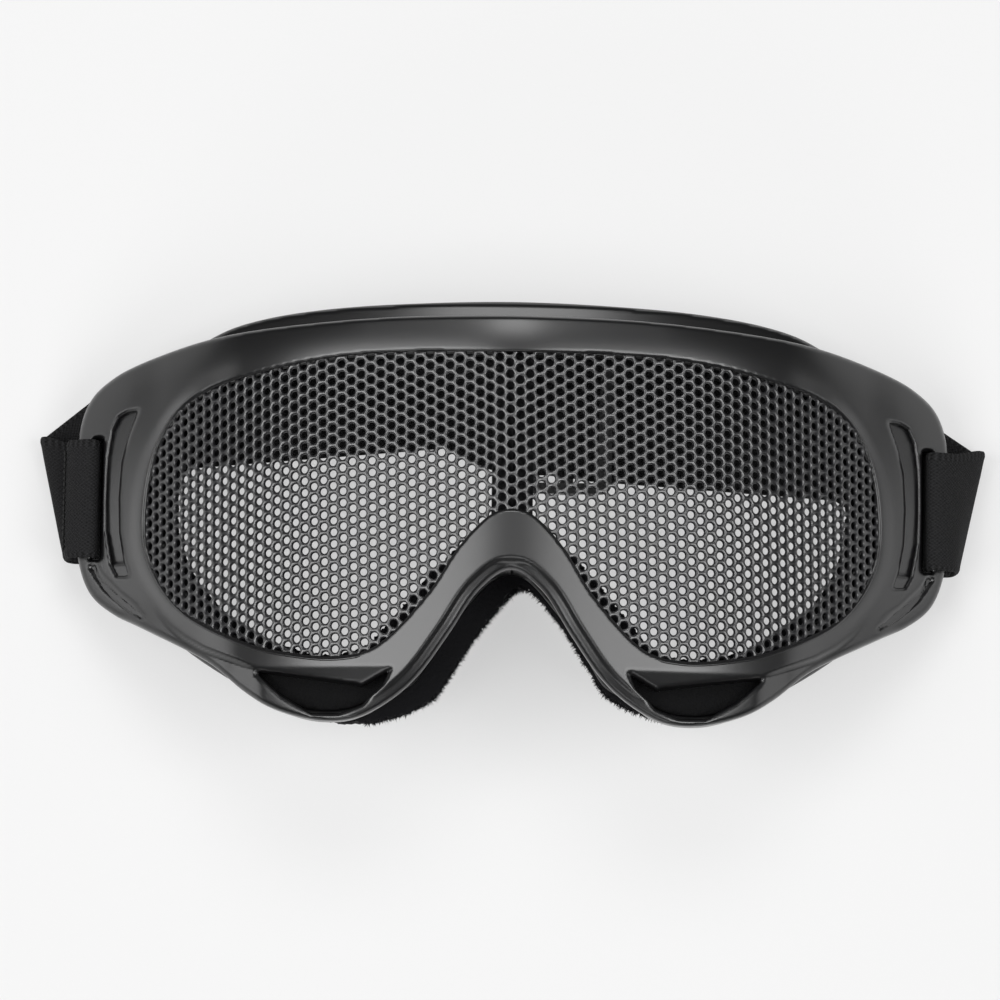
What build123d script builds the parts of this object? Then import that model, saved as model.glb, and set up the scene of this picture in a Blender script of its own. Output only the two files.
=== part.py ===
"""Mesh safety goggles lying face-up on a table, with the strap folded flat underneath.

Millimetres. +X runs across the face, +Y towards the brow and +Z out of the lens.
The origin is under the middle of the goggles, on the table.
"""

import os
from math import cos, radians, sin, tan

from build123d import *

# Overall sizes of the moulded frame
frame_width = 192.6  # over the strap bars
frame_height = 92.7  # from the rear brow rim to the cheek lobes
bar_end_height = 12.05  # lens profile above the table, at the outer edge of the strap bars

# Profile of the lens across the face: a soft crease, a straight slope, then an arc
lens_slope = 11.5  # degrees
lens_flat_reach = 32.0
lens_arc_radius = 92.0
lens_arc_end_slope = 43.0  # degrees, kept by the wings outside the lens

# Profile of the rear of the frame and of the face side of the foam
flange_apex_height = 33.0  # rear of the frame above the table, at the middle
flange_end_height = 7.1  # rear of the frame above the table, at its ends
face_apex_height = 21.0  # face side of the foam above the table, at the middle
face_arc_radius = 134.0

# Lens opening and lens sheet
lens_opening_width = 159.4
lens_opening_height = 64.9
lens_opening_centre_y = -0.3
lens_thickness = 0.6
lens_seat = 2.5  # how far the sheet reaches under the lip, all round
groove_clearance = 0.1
hole_pitch = 5.0
hole_diameter = 3.2
hole_edge_margin = 1.6  # plain steel left between the lip and the outermost holes
hole_row_angle = 30.0  # rows of holes against the face, beside the vertical columns

# Frame walls
front_lip = 1.5  # lip over the lens sheet
shell_thickness = 5.0
wall_thickness = 2.6
flange_thickness = 2.2
flange_setback = 3.0  # the flange ends this far short of the foam's inner edge
body_width = 176.0  # side wall to side wall, inside the strap slots
rear_width = 174.0
strut_width = 8.8
strut_depth = 3.0
wall_lap = 0.5  # how far the side wall reaches into the front shell

# Strap openings and the wings
bar_width = 3.8
strap_slot_width = 3.6
strap_slot_margin = 1.9  # room above and below the strap in its slot
crevice_end_x = 80.5
crevice_end_y = -23.0
crevice_width = 1.2
recess_width = 2.4
recess_depth = 3.0
recess_top = 21.0
recess_bottom = -13.0
recess_x = 86.2

# Vents
vent_width = 12.0
vent_height = 7.0
vent_spacing = 18.0
vent_count = 6
vent_foam_thickness = 2.4
vent_foam_half_reach = 60.0
vent_foam_gap = 0.2
cheek_vent_inner_x = 24.6
cheek_vent_outer_x = 54.3
cheek_vent_lip = 1.65  # between the lens opening and the vent
cheek_vent_rim = 1.15  # between the vent and the lower edge of the frame
cheek_foam_thickness = 3.0
cheek_foam_lap = 1.6

# Face foam
foam_inset = 0.8
foam_fit = 0.1  # glue line between the foam and the frame

# Strap
strap_width = 26.0
strap_thickness = 1.4
strap_clearance = 0.3
fold_reach = 104.0  # outermost point of the fold
fold_setback = 6.0  # how far the lower end of the fold lies further in
fold_drop = 1.15  # middle of the strap below the lower outer edge of its bar
loop_centre_y = 3.65
loop_rise = 1.9  # middle of the strap above the inner top edge of its bar
strap_bulge = 0.5  # how far the doubled fold bows out above the table
corner_share = 0.4  # bevel of the strap's corners, as a share of the inner fold's height
fold_tail = 10.0  # length of the table layer that belongs to the fold
band_half_length = 62.0
side_end_x = 93.0
side_end_y = 9.0
side_bend_x = 76.0
left_bend_y = 25.0
right_bend_y = 20.2
band_rise_x = -13.0
band_rise_y = 31.0
band_fall_x = 0.0
band_fall_y = 25.0
strap_bend_radius = 14.0
channel_clearance = 0.6  # room round the strap where it passes under the foam

# Slider
slider_x = 12.0
slider_length = 20.0
slider_bar = 3.0
slider_thickness = 1.6
slider_end_bar = 2.4
slider_gap = 1.2  # room beside the strap in the slider

# Bar tack that sews the strap's fixed end
stitch_width = 0.6
stitch_height = 0.3
stitch_rows = 3
stitch_step = 1.2
stitch_margin = 1.6

overrun = 60.0  # how far the cutting blocks reach past the part

# Halves
half_width = frame_width / 2
half_height = frame_height / 2
lens_half_width = lens_opening_width / 2
lens_half_height = lens_opening_height / 2
body_half_width = body_width / 2
rear_half_width = rear_width / 2
half_strap = strap_width / 2
half_layer = strap_thickness / 2
shell_low = front_lip - shell_thickness

# Half outlines from the top middle to the nose, as shares of half the width and height
lens_shares = [
    (0, 1), (0.376, 0.995), (0.652, 0.903), (0.868, 0.737), (0.97, 0.41), (1, -0.046),
    (0.972, -0.376), (0.878, -0.684), (0.721, -0.89), (0.595, -0.973), (0.457, -1),
    (0.346, -0.914), (0.222, -0.592), (0.142, -0.288), (0.062, -0.085), (0, -0.035),
]
front_shares = [
    (0, 0.864), (0.26, 0.861), (0.506, 0.828), (0.654, 0.798), (0.754, 0.75), (0.854, 0.669),
    (0.915, 0.565), (0.961, 0.43), (0.991, 0.259), (1, 0.043), (0.992, -0.19), (0.962, -0.363),
    (0.905, -0.466), (0.831, -0.545), (0.68, -0.712), (0.589, -0.863), (0.519, -0.947),
    (0.426, -1), (0.343, -0.992), (0.266, -0.91), (0.2, -0.79), (0.135, -0.6), (0.073, -0.403),
    (0, -0.303),
]
body_shares = [
    (0, 0.846), (0.284, 0.842), (0.551, 0.806), (0.739, 0.746), (0.886, 0.604), (0.972, 0.367),
    (1, 0.043), (0.972, -0.259), (0.886, -0.507), (0.75, -0.69), (0.636, -0.85), (0.545, -0.94),
    (0.466, -0.979), (0.381, -0.969), (0.295, -0.891), (0.226, -0.775), (0.157, -0.587),
    (0.091, -0.412), (0, -0.32),
]
rear_shares = [
    (0, 1), (0.241, 0.991), (0.46, 0.968), (0.637, 0.926), (0.759, 0.852), (0.885, 0.69),
    (0.971, 0.431), (1, 0.086), (0.971, -0.259), (0.874, -0.539), (0.69, -0.787),
    (0.517, -0.928), (0.368, -0.953), (0.23, -0.863), (0.164, -0.699), (0.093, -0.5), (0, -0.34),
]
opening_shares = [
    (0, 0.733), (0.26, 0.728), (0.46, 0.701), (0.632, 0.647), (0.759, 0.518), (0.833, 0.28),
    (0.85, 0.043), (0.822, -0.194), (0.736, -0.42), (0.598, -0.593), (0.471, -0.658),
    (0.368, -0.626), (0.287, -0.475), (0.195, -0.27), (0.103, -0.119), (0, -0.069),
]


def outline_points(shares, width, height, centre_y=0):
    """Half outline in millimetres."""
    return [(x * width, centre_y + y * height) for x, y in shares]


lens_points = outline_points(lens_shares, lens_half_width, lens_half_height, lens_opening_centre_y)
front_points = outline_points(front_shares, half_width, half_height)
body_points = outline_points(body_shares, body_half_width, half_height)
rear_points = outline_points(rear_shares, rear_half_width, half_height)
opening_points = outline_points(opening_shares, rear_half_width, half_height)

# Heights along the lens profile
slope_rise = lens_flat_reach * tan(radians(lens_slope))
arc_start_x = lens_flat_reach
arc_end_x = arc_start_x + lens_arc_radius * (sin(radians(lens_arc_end_slope)) - sin(radians(lens_slope)))
arc_drop = lens_arc_radius * (cos(radians(lens_slope)) - cos(radians(lens_arc_end_slope)))
profile_reach = half_width + overrun
tail_drop = (profile_reach - arc_end_x) * tan(radians(lens_arc_end_slope))
arc_mid_slope = (lens_slope + lens_arc_end_slope) / 2
arc_mid_x = arc_start_x + lens_arc_radius * (sin(radians(arc_mid_slope)) - sin(radians(lens_slope)))
arc_mid_drop = lens_arc_radius * (cos(radians(lens_slope)) - cos(radians(arc_mid_slope)))
arc_end_height = bar_end_height + (half_width - arc_end_x) * tan(radians(lens_arc_end_slope))
arc_start_height = arc_end_height + arc_drop
lens_apex_height = arc_start_height + slope_rise
flange_fall = flange_apex_height - flange_end_height
flange_arc_radius = (rear_half_width**2 + flange_fall**2) / (flange_fall * 2)


def lens_height(x):
    """Height of the lens profile at a distance from the middle, outside the crease."""
    if x <= arc_start_x:
        return lens_apex_height - x * tan(radians(lens_slope))
    if x >= arc_end_x:
        return arc_end_height - (x - arc_end_x) * tan(radians(lens_arc_end_slope))
    reach = sin(radians(lens_slope)) + (x - arc_start_x) / lens_arc_radius
    return arc_start_height - lens_arc_radius * (cos(radians(lens_slope)) - (1 - reach**2) ** 0.5)


def arc_height(x, apex, radius):
    """Height of an arc that falls away from its apex at the middle."""
    return apex - radius + (radius**2 - x**2) ** 0.5


def lens_curve(rise):
    """Right half of the lens profile, moved up by rise."""
    start = (0, lens_apex_height + rise)
    bend = (arc_start_x, arc_start_height + rise)
    middle = (arc_mid_x, arc_start_height - arc_mid_drop + rise)
    end = (arc_end_x, arc_end_height + rise)
    far = (profile_reach, arc_end_height - tail_drop + rise)
    Line(start, bend)
    ThreePointArc(bend, middle, end)
    Line(end, far)
    return start, far


def lens_slab(rise_low, rise_high):
    """Curved slab between two copies of the lens profile."""
    with BuildPart(mode=Mode.PRIVATE) as slab:
        with BuildSketch(Plane.XZ):
            with BuildLine():
                high_start, high_end = lens_curve(rise_high)
                low_start, low_end = lens_curve(rise_low)
                Line(high_end, low_end)
                Line(high_start, low_start)
            make_face()
            mirror(about=Plane.YZ)
        extrude(amount=overrun, both=True)
    return slab.part


def rear_slab(apex_low, radius_low, apex_high, radius_high):
    """Curved slab between two arcs across the face, no lower than the table."""
    reach = rear_half_width + foam_inset
    with BuildPart(mode=Mode.PRIVATE) as slab:
        with BuildSketch(Plane.XZ):
            with BuildLine():
                high_end = (reach, arc_height(reach, apex_high, radius_high))
                low_end = (reach, arc_height(reach, apex_low, radius_low))
                ThreePointArc((-high_end[0], high_end[1]), (0, apex_high), high_end)
                Line(high_end, low_end)
                ThreePointArc(low_end, (0, apex_low), (-low_end[0], low_end[1]))
                Line((-low_end[0], low_end[1]), (-high_end[0], high_end[1]))
            make_face()
            with Locations((0, -overrun / 2)):
                Rectangle(frame_width + overrun, overrun, mode=Mode.SUBTRACT)
        extrude(amount=overrun, both=True)
    return slab.part


def grown_outline(points, grow):
    """Half outline moved outwards by grow, each point along its own normal."""
    moved = []
    for place, (x, y) in enumerate(points):
        x0, y0 = points[max(place - 1, 0)]
        x1, y1 = points[min(place + 1, len(points) - 1)]
        if x == 0:
            moved.append((0, y + grow * (1 if place == 0 else -1)))
            continue
        run = ((x1 - x0) ** 2 + (y1 - y0) ** 2) ** 0.5
        moved.append((x - grow * (y1 - y0) / run, y + grow * (x1 - x0) / run))
    return moved


def outline_block(points, grow=0):
    """Tall block with a mirrored outline, grown or shrunk sideways."""
    with BuildPart(mode=Mode.PRIVATE) as block:
        with BuildSketch():
            with BuildLine():
                Spline(*grown_outline(points, grow), tangents=[(1, 0), (-1, 0)])
                mirror(about=Plane.YZ)
            make_face()
        extrude(amount=lens_apex_height + overrun)
    return block.part


def inside_lens(x, y, margin):
    """Whether a point lies inside the lens outline by a margin, read off straight chords."""
    crossings = 0
    for (x0, y0), (x1, y1) in zip(lens_points, lens_points[1:]):
        if (y0 > y) != (y1 > y) and abs(x) < x0 + (y - y0) / (y1 - y0) * (x1 - x0):
            crossings += 1
        run = ((x1 - x0) ** 2 + (y1 - y0) ** 2) ** 0.5
        along = ((abs(x) - x0) * (x1 - x0) + (y - y0) * (y1 - y0)) / run
        along = min(max(along, 0), run)
        gap_x = x0 + along * (x1 - x0) / run - abs(x)
        gap_y = y0 + along * (y1 - y0) / run - y
        if gap_x**2 + gap_y**2 < margin**2:
            return False
    return crossings % 2 == 1


def lens_holes():
    """Hole centres in a triangular pattern with vertical columns."""
    column_step = hole_pitch * cos(radians(hole_row_angle))
    columns = int(lens_half_width / column_step)
    rows = int(lens_half_height / hole_pitch)
    places = []
    for column in range(-columns, columns + 1):
        stagger = hole_pitch / 2 * (column % 2)
        for row in range(-rows - 1, rows + 1):
            x = column * column_step
            y = row * hole_pitch + stagger
            if inside_lens(x, y, hole_diameter / 2 + hole_edge_margin):
                places.append((x, y))
    return places


# Lens sheet: perforated steel, bent to the lens profile
with BuildPart() as mesh_lens:
    add(outline_block(lens_points, lens_seat))
    add(lens_slab(-lens_thickness, 0), mode=Mode.INTERSECT)
    with BuildSketch():
        with Locations(*lens_holes()):
            Circle(hole_diameter / 2)
    extrude(amount=lens_apex_height + overrun, mode=Mode.SUBTRACT)

# Frame front: the curved shell round the lens, with the wings and strap bars
bar_inner_x = half_width - bar_width
slot_inner_x = bar_inner_x - strap_slot_width
strap_slot_top = loop_centre_y + half_strap + strap_slot_margin
strap_slot_bottom = loop_centre_y - half_strap - strap_slot_margin
with BuildPart() as front_shell:
    add(outline_block(front_points))
    add(lens_slab(shell_low, front_lip), mode=Mode.INTERSECT)
    add(outline_block(lens_points), mode=Mode.SUBTRACT)
    for side in (-1, 1):
        with BuildSketch():
            with BuildLine():
                Polyline(
                    (side * slot_inner_x, strap_slot_top),
                    (side * bar_inner_x, strap_slot_top),
                    (side * bar_inner_x, strap_slot_bottom),
                    (side * (crevice_end_x + crevice_width), crevice_end_y),
                    (side * crevice_end_x, crevice_end_y + crevice_width),
                    (side * slot_inner_x, strap_slot_bottom + strap_slot_width),
                    close=True,
                )
            make_face()
        extrude(amount=lens_apex_height + overrun, mode=Mode.SUBTRACT)

# Long recess beside each end of the lens, cut only part of the way through
recess_middle_y = (recess_top + recess_bottom) / 2
with BuildPart() as recess_cutter:
    for side in (-1, 1):
        with BuildSketch():
            with BuildLine():
                ThreePointArc(
                    (side * (recess_x - recess_width), recess_top),
                    (side * recess_x, recess_middle_y),
                    (side * (recess_x - recess_width), recess_bottom),
                )
                ThreePointArc(
                    (side * (recess_x - recess_width), recess_bottom),
                    (side * (recess_x + recess_width), recess_middle_y),
                    (side * (recess_x - recess_width), recess_top),
                )
            make_face()
        extrude(amount=lens_apex_height + overrun)
    add(lens_slab(front_lip - recess_depth, front_lip + overrun), mode=Mode.INTERSECT)


def cheek_vent_block(side, grow=0):
    """Tall block with the D-shaped outline of a cheek vent."""
    middle_x = (cheek_vent_inner_x + cheek_vent_outer_x) / 2
    reach = (cheek_vent_outer_x - cheek_vent_inner_x) / 2 + grow
    top = lens_opening_centre_y - lens_half_height - cheek_vent_lip + grow
    bottom = cheek_vent_rim - half_height - grow
    with BuildPart(mode=Mode.PRIVATE) as block:
        with BuildSketch():
            with BuildLine():
                Line((side * (middle_x - reach), top), (side * (middle_x + reach), top))
                ThreePointArc(
                    (side * (middle_x + reach), top),
                    (side * middle_x, bottom),
                    (side * (middle_x - reach), top),
                )
            make_face()
        extrude(amount=lens_apex_height + overrun)
    return block.part


# Side wall between the front shell and the rear flange, with vents through the brow
with BuildPart() as side_wall:
    add(outline_block(body_points))
    add(outline_block(body_points, -wall_thickness), mode=Mode.SUBTRACT)
    with BuildSketch(Plane.XZ):
        with BuildLine():
            high_start, high_end = lens_curve(shell_low + wall_lap)
            low_end_x = rear_half_width + foam_inset
            low_end = (low_end_x, arc_height(low_end_x, flange_apex_height, flange_arc_radius))
            far_low = (profile_reach, low_end[1])
            low_mid_x = low_end_x / 2
            low_mid = (low_mid_x, arc_height(low_mid_x, flange_apex_height, flange_arc_radius))
            ThreePointArc((0, flange_apex_height), low_mid, low_end)
            Line(low_end, far_low)
            Line(far_low, high_end)
            Line(high_start, (0, flange_apex_height))
        make_face()
        mirror(about=Plane.YZ)
    extrude(amount=overrun, both=True, mode=Mode.INTERSECT)
    for place in range(vent_count):
        vent_x = (place - (vent_count - 1) / 2) * vent_spacing
        vent_low = arc_height(vent_x, flange_apex_height, flange_arc_radius) + flange_thickness
        vent_high = lens_height(abs(vent_x) + vent_width / 2) + shell_low
        with BuildSketch(Plane.XZ):
            with Locations((vent_x, (vent_low + vent_high) / 2)):
                Rectangle(vent_width, vent_height)
        extrude(amount=-overrun, mode=Mode.SUBTRACT)

# Rear flange that carries the foam
with BuildPart() as rear_flange:
    add(outline_block(rear_points))
    add(outline_block(opening_points, flange_setback), mode=Mode.SUBTRACT)
    flange_slab = rear_slab(
        flange_apex_height, flange_arc_radius, flange_apex_height + flange_thickness, flange_arc_radius
    )
    add(flange_slab, mode=Mode.INTERSECT)

# Strut behind the middle of the lens, from the brow to the nose arch
strut_top_rise = -lens_thickness - groove_clearance
with BuildPart() as centre_strut:
    with BuildSketch():
        Rectangle(strut_width, lens_opening_height + lens_seat * 2)
    extrude(amount=lens_apex_height)
    add(lens_slab(strut_top_rise - strut_depth, strut_top_rise), mode=Mode.INTERSECT)
    add(outline_block(lens_points, lens_seat), mode=Mode.INTERSECT)

# Groove in the lip that holds the lens sheet
with BuildPart() as lens_groove:
    add(outline_block(lens_points, lens_seat + groove_clearance))
    add(lens_slab(-lens_thickness - groove_clearance, groove_clearance), mode=Mode.INTERSECT)

# Whole frame: one soft moulding
with BuildPart() as frame:
    add(front_shell.part)
    add(side_wall.part)
    add(rear_flange.part)
    add(centre_strut.part)
    add(recess_cutter.part, mode=Mode.SUBTRACT)
    for side in (-1, 1):
        add(cheek_vent_block(side), mode=Mode.SUBTRACT)
    add(lens_groove.part, mode=Mode.SUBTRACT)

# Thin foam behind the brow vents
vent_foam_outer = wall_thickness + vent_foam_gap
with BuildPart() as brow_vent_foam:
    add(outline_block(body_points, -vent_foam_outer))
    add(outline_block(body_points, -vent_foam_outer - vent_foam_thickness), mode=Mode.SUBTRACT)
    with BuildSketch(Plane.XZ):
        with BuildLine():
            reach = vent_foam_half_reach
            low_apex = flange_apex_height + flange_thickness + vent_foam_gap
            low_end = (reach, arc_height(reach, low_apex, flange_arc_radius))
            high_end = (reach, lens_height(reach) + shell_low - vent_foam_gap)
            high_bend = (arc_start_x, lens_height(arc_start_x) + shell_low - vent_foam_gap)
            high_apex = (0, lens_apex_height + shell_low - vent_foam_gap)
            low_mid = (reach / 2, arc_height(reach / 2, low_apex, flange_arc_radius))
            ThreePointArc((0, low_apex), low_mid, low_end)
            Polyline(low_end, high_end, high_bend, high_apex, (0, low_apex))
        make_face()
        mirror(about=Plane.YZ)
    extrude(amount=-overrun, mode=Mode.INTERSECT)


def cheek_vent_foam(side):
    """Thin foam under the mouth of one cheek vent, inside the side wall."""
    pad_top = shell_low - vent_foam_gap
    with BuildPart(mode=Mode.PRIVATE) as pad:
        add(cheek_vent_block(side, cheek_foam_lap))
        add(lens_slab(pad_top - cheek_foam_thickness, pad_top), mode=Mode.INTERSECT)
        add(outline_block(body_points, -vent_foam_outer), mode=Mode.INTERSECT)
    return pad.part


with BuildPart() as cheek_vent_foam_left:
    add(cheek_vent_foam(-1))
with BuildPart() as cheek_vent_foam_right:
    add(cheek_vent_foam(1))

# Strap heights: the single layer lies on the table, the doubled layer on top of it
layer_step = strap_thickness + strap_clearance


def thick_line(points, thickness):
    """Closed outline of a band of even thickness along a line of points."""
    near, far = [], []
    for place, (x, z) in enumerate(points):
        before = points[max(place - 1, 0)]
        after = points[min(place + 1, len(points) - 1)]
        steps = [(x - before[0], z - before[1]), (after[0] - x, after[1] - z)]
        arms = [Vector(*step).normalized() for step in steps if step != (0, 0)]
        across = sum(arms, Vector()) * (1 / len(arms))
        spread = thickness / 2 / across.length**2
        near.append((x - across.Y * spread, z + across.X * spread))
        far.append((x + across.Y * spread, z - across.X * spread))
    return near + far[::-1]


def strap_path(width):
    """Tall ribbon over the whole route of the strap on the table."""
    route_points = [
        (-side_end_x, side_end_y),
        (-side_bend_x, left_bend_y),
        (band_rise_x, band_rise_y),
        (band_fall_x, band_fall_y),
        (side_bend_x, right_bend_y),
        (side_end_x, side_end_y),
    ]
    with BuildPart(mode=Mode.PRIVATE) as ribbon:
        with BuildLine() as route:
            FilletPolyline(*route_points, radius=strap_bend_radius)
        with BuildSketch(Plane(origin=route.line @ 0, x_dir=(0, 0, 1), z_dir=route.line % 0)):
            with Locations((strap_width / 2, 0)):
                Rectangle(strap_width, width)
        sweep(path=route.line)
    return ribbon.part


def side_view(points, thickness=strap_thickness):
    """Band of even thickness seen from the brow, carried through along Y."""
    with BuildPart(mode=Mode.PRIVATE) as profile:
        with BuildSketch(Plane.XZ):
            with BuildLine():
                Polyline(*thick_line(points, thickness), close=True)
            make_face()
        extrude(amount=overrun, both=True)
    return profile.part


# Heights in the slider: the return end wraps the middle bar, the main run passes over both
bar_low = layer_step
wrap_reach = slider_bar / 2 + layer_step
wrap_middle = slider_bar / 2 + strap_clearance + half_layer
wrap_top = bar_low + slider_thickness + strap_clearance + half_layer
hump_top = wrap_top + layer_step
slot_outer = slider_length / 2 - slider_bar
ramp_foot = slot_outer - half_layer - strap_clearance / 2
ramp_head = wrap_reach + half_layer + strap_clearance / 2
outer_bar_low = layer_step * 2

fall_slope = (right_bend_y - band_fall_y) / (side_bend_x - band_fall_x)
slider_y = band_fall_y + (slider_x - band_fall_x) * fall_slope
band_heights = [
    (-band_half_length, half_layer),
    (slider_x - ramp_foot, half_layer),
    (slider_x - ramp_head, hump_top),
    (slider_x + ramp_head, hump_top),
    (slider_x + ramp_foot, half_layer + layer_step),
    (band_half_length, half_layer + layer_step),
]
return_heights = [
    (band_half_length, half_layer),
    (slider_x - wrap_middle, half_layer),
    (slider_x - wrap_middle, wrap_top),
    (slider_x + wrap_middle, wrap_top),
]

# Main run of the strap under the goggles, from the left side over the slider's middle bar
with BuildPart() as strap_band:
    add(strap_path(strap_width))
    add(side_view(band_heights), mode=Mode.INTERSECT)

# Return end of the strap, under the main run, looped round the slider's middle bar
with BuildPart() as strap_return:
    add(strap_path(strap_width))
    add(side_view(return_heights), mode=Mode.INTERSECT)

# Slider: three bars joined at both ends, the middle bar dropped below the outer two
slider_inner_width = strap_width + slider_gap * 2
slider_width = slider_inner_width + slider_end_bar * 2
with BuildPart() as slider:
    with BuildSketch(Plane.XY.offset(outer_bar_low)):
        with Locations((slider_x, slider_y)):
            RectangleRounded(slider_length, slider_width, slider_end_bar)
            Rectangle(slider_length - slider_bar * 2, slider_inner_width, mode=Mode.SUBTRACT)
    extrude(amount=slider_thickness)
    with BuildSketch(Plane.XY.offset(bar_low)):
        with Locations((slider_x, slider_y)):
            Rectangle(slider_bar, slider_width)
    extrude(amount=slider_thickness)
    with BuildSketch(Plane.XY.offset(bar_low)):
        with Locations((slider_x, slider_y)):
            Rectangle(slider_bar, slider_width)
            Rectangle(slider_bar, slider_inner_width, mode=Mode.SUBTRACT)
    extrude(amount=outer_bar_low - bar_low + slider_thickness)

# Loop heights beside the strap bar
bar_outer_x = half_width
bar_inner_clear_x = bar_inner_x - strap_clearance - half_layer
bar_outer_clear_x = bar_outer_x + strap_clearance + half_layer
bar_top_height = lens_height(bar_outer_x) + front_lip
fold_height = lens_height(bar_outer_x) + shell_low - fold_drop
loop_top_height = lens_height(bar_inner_x) + front_lip + loop_rise
corner_cut = (fold_height - half_layer - layer_step) * corner_share
tail_end = (bar_outer_clear_x + half_layer, fold_height + layer_step + strap_clearance)


def table_fold(reach, height, layer_inset):
    """Centre line of one layer from the table round the fold, up to the given height."""
    outer = reach - half_layer - layer_inset
    low = half_layer + layer_inset
    rise = [(outer, low + corner_cut), (outer, height)]
    return [(reach - fold_tail, low), (outer - corner_cut, low)] + rise


def bar_wrap():
    """Centre line round the inside and the top of the strap bar."""
    return [
        (bar_inner_x, fold_height),
        (bar_inner_clear_x, fold_height + corner_cut),
        (bar_inner_clear_x, loop_top_height - corner_cut),
        (bar_inner_x, loop_top_height),
        (bar_outer_clear_x, bar_top_height + corner_cut),
    ]


def left_loop(reach):
    """Centre line of the sewn loop: table, fold, under the bar, over it, down to the sewn end."""
    fold = table_fold(reach, fold_height - corner_cut, 0)
    turn = [(reach - half_layer - corner_cut, fold_height)]
    return fold + turn + bar_wrap() + [tail_end]


def right_outer_leg(reach):
    """Centre line of the outer layer: table, fold, over the bar and down through the slot."""
    table, corner, rise = table_fold(reach - strap_bulge, fold_height, 0)[:3]
    return [table, corner, rise, (reach - half_layer, fold_height)] + bar_wrap()[::-1]


def right_inner_leg(reach):
    """Centre line of the inner layer: from under the bar round the inside of the fold."""
    inner = table_fold(reach, fold_height - corner_cut, layer_step)[::-1]
    turn = (reach - half_layer - layer_step - corner_cut, fold_height)
    return [(bar_inner_x, fold_height), turn] + inner


def loop_solid(side, loop):
    """Loop between its two edges: the fold lies further in at the lower edge."""
    with BuildPart(mode=Mode.PRIVATE) as solid:
        for edge_y, reach in (
            (loop_centre_y - half_strap, fold_reach - fold_setback),
            (loop_centre_y + half_strap, fold_reach),
        ):
            with BuildSketch(Plane.XZ.offset(-edge_y)):
                with BuildLine():
                    edge = [(side * x, z) for x, z in thick_line(loop(reach), strap_thickness)]
                    Polyline(*edge, close=True)
                make_face()
        loft(ruled=True)
    return solid.part


# Side pieces of the strap, from the straight run to the loop round each bar
path_reach = side_end_x + strap_width
single_layer = [(-path_reach, half_layer), (-band_half_length, half_layer)]
with BuildPart() as strap_side_left:
    add(strap_path(strap_width))
    add(side_view(single_layer), mode=Mode.INTERSECT)
    add(loop_solid(-1, left_loop))
with BuildPart() as right_layers:
    add(side_view([(band_half_length, half_layer), (path_reach, half_layer)]))
    add(side_view([(band_half_length, half_layer + layer_step), (path_reach, half_layer + layer_step)]))
    add(strap_path(strap_width), mode=Mode.INTERSECT)
with BuildPart() as strap_side_right:
    add(loop_solid(1, right_outer_leg))
    add(loop_solid(1, right_inner_leg))
    add(right_layers.part)

# Bar tack that sews the strap's end down on the left
with BuildPart() as bar_tack_left:
    for row in range(stitch_rows):
        stitch_z = tail_end[1] + stitch_step * (row + 1)
        rise = (stitch_z - tail_end[1]) / (bar_top_height + corner_cut - tail_end[1])
        stitch_x = tail_end[0] + (bar_outer_clear_x - tail_end[0]) * rise + half_layer
        with Locations((-stitch_x - stitch_height, loop_centre_y, stitch_z)):
            Box(stitch_height, strap_width - stitch_margin * 2, stitch_width)

# Channels that the strap presses into the foam: one layer deep on the left, two on the right
with BuildPart() as strap_channels:
    add(strap_path(strap_width + channel_clearance * 2))
    with BuildSketch(Plane.XZ):
        with BuildLine():
            Polyline(
                (-path_reach, 0),
                (path_reach, 0),
                (path_reach, layer_step * 2),
                (0, layer_step * 2),
                (0, layer_step),
                (-path_reach, layer_step),
                close=True,
            )
        make_face()
    extrude(amount=overrun, both=True, mode=Mode.INTERSECT)

# Face foam round the whole rear of the frame
with BuildPart() as face_foam:
    add(outline_block(rear_points, -foam_inset))
    add(outline_block(opening_points), mode=Mode.SUBTRACT)
    foam_slab = rear_slab(
        face_apex_height, face_arc_radius, flange_apex_height - foam_fit, flange_arc_radius
    )
    add(foam_slab, mode=Mode.INTERSECT)
    add(strap_channels.part, mode=Mode.SUBTRACT)

os.makedirs("parts", exist_ok=True)
for name, piece in (
    ("mesh_lens", mesh_lens),
    ("frame", frame),
    ("face_foam", face_foam),
    ("brow_vent_foam", brow_vent_foam),
    ("cheek_vent_foam_left", cheek_vent_foam_left),
    ("cheek_vent_foam_right", cheek_vent_foam_right),
    ("strap_band", strap_band),
    ("strap_return", strap_return),
    ("strap_side_left", strap_side_left),
    ("strap_side_right", strap_side_right),
    ("bar_tack_left", bar_tack_left),
    ("slider", slider),
):
    piece.part.label = name
    export_step(piece.part, "parts/" + name + ".step")
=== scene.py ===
import math

import bpy
import numpy as np
from mathutils import Matrix, Vector


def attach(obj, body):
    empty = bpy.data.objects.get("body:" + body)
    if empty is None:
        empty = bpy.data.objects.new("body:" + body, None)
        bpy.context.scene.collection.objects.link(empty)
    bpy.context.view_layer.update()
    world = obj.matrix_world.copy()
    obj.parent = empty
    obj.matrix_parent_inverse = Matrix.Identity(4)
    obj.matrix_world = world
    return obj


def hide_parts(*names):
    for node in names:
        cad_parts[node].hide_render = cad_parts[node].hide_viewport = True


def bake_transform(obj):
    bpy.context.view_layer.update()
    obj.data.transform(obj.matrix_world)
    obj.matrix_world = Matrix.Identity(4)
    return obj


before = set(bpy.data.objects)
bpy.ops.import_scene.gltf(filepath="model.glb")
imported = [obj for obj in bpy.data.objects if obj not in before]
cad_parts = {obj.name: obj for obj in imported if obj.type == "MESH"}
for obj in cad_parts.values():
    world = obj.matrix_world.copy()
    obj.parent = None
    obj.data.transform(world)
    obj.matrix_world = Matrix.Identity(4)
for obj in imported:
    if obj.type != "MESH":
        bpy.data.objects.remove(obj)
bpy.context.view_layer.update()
mm = 0.001

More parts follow.
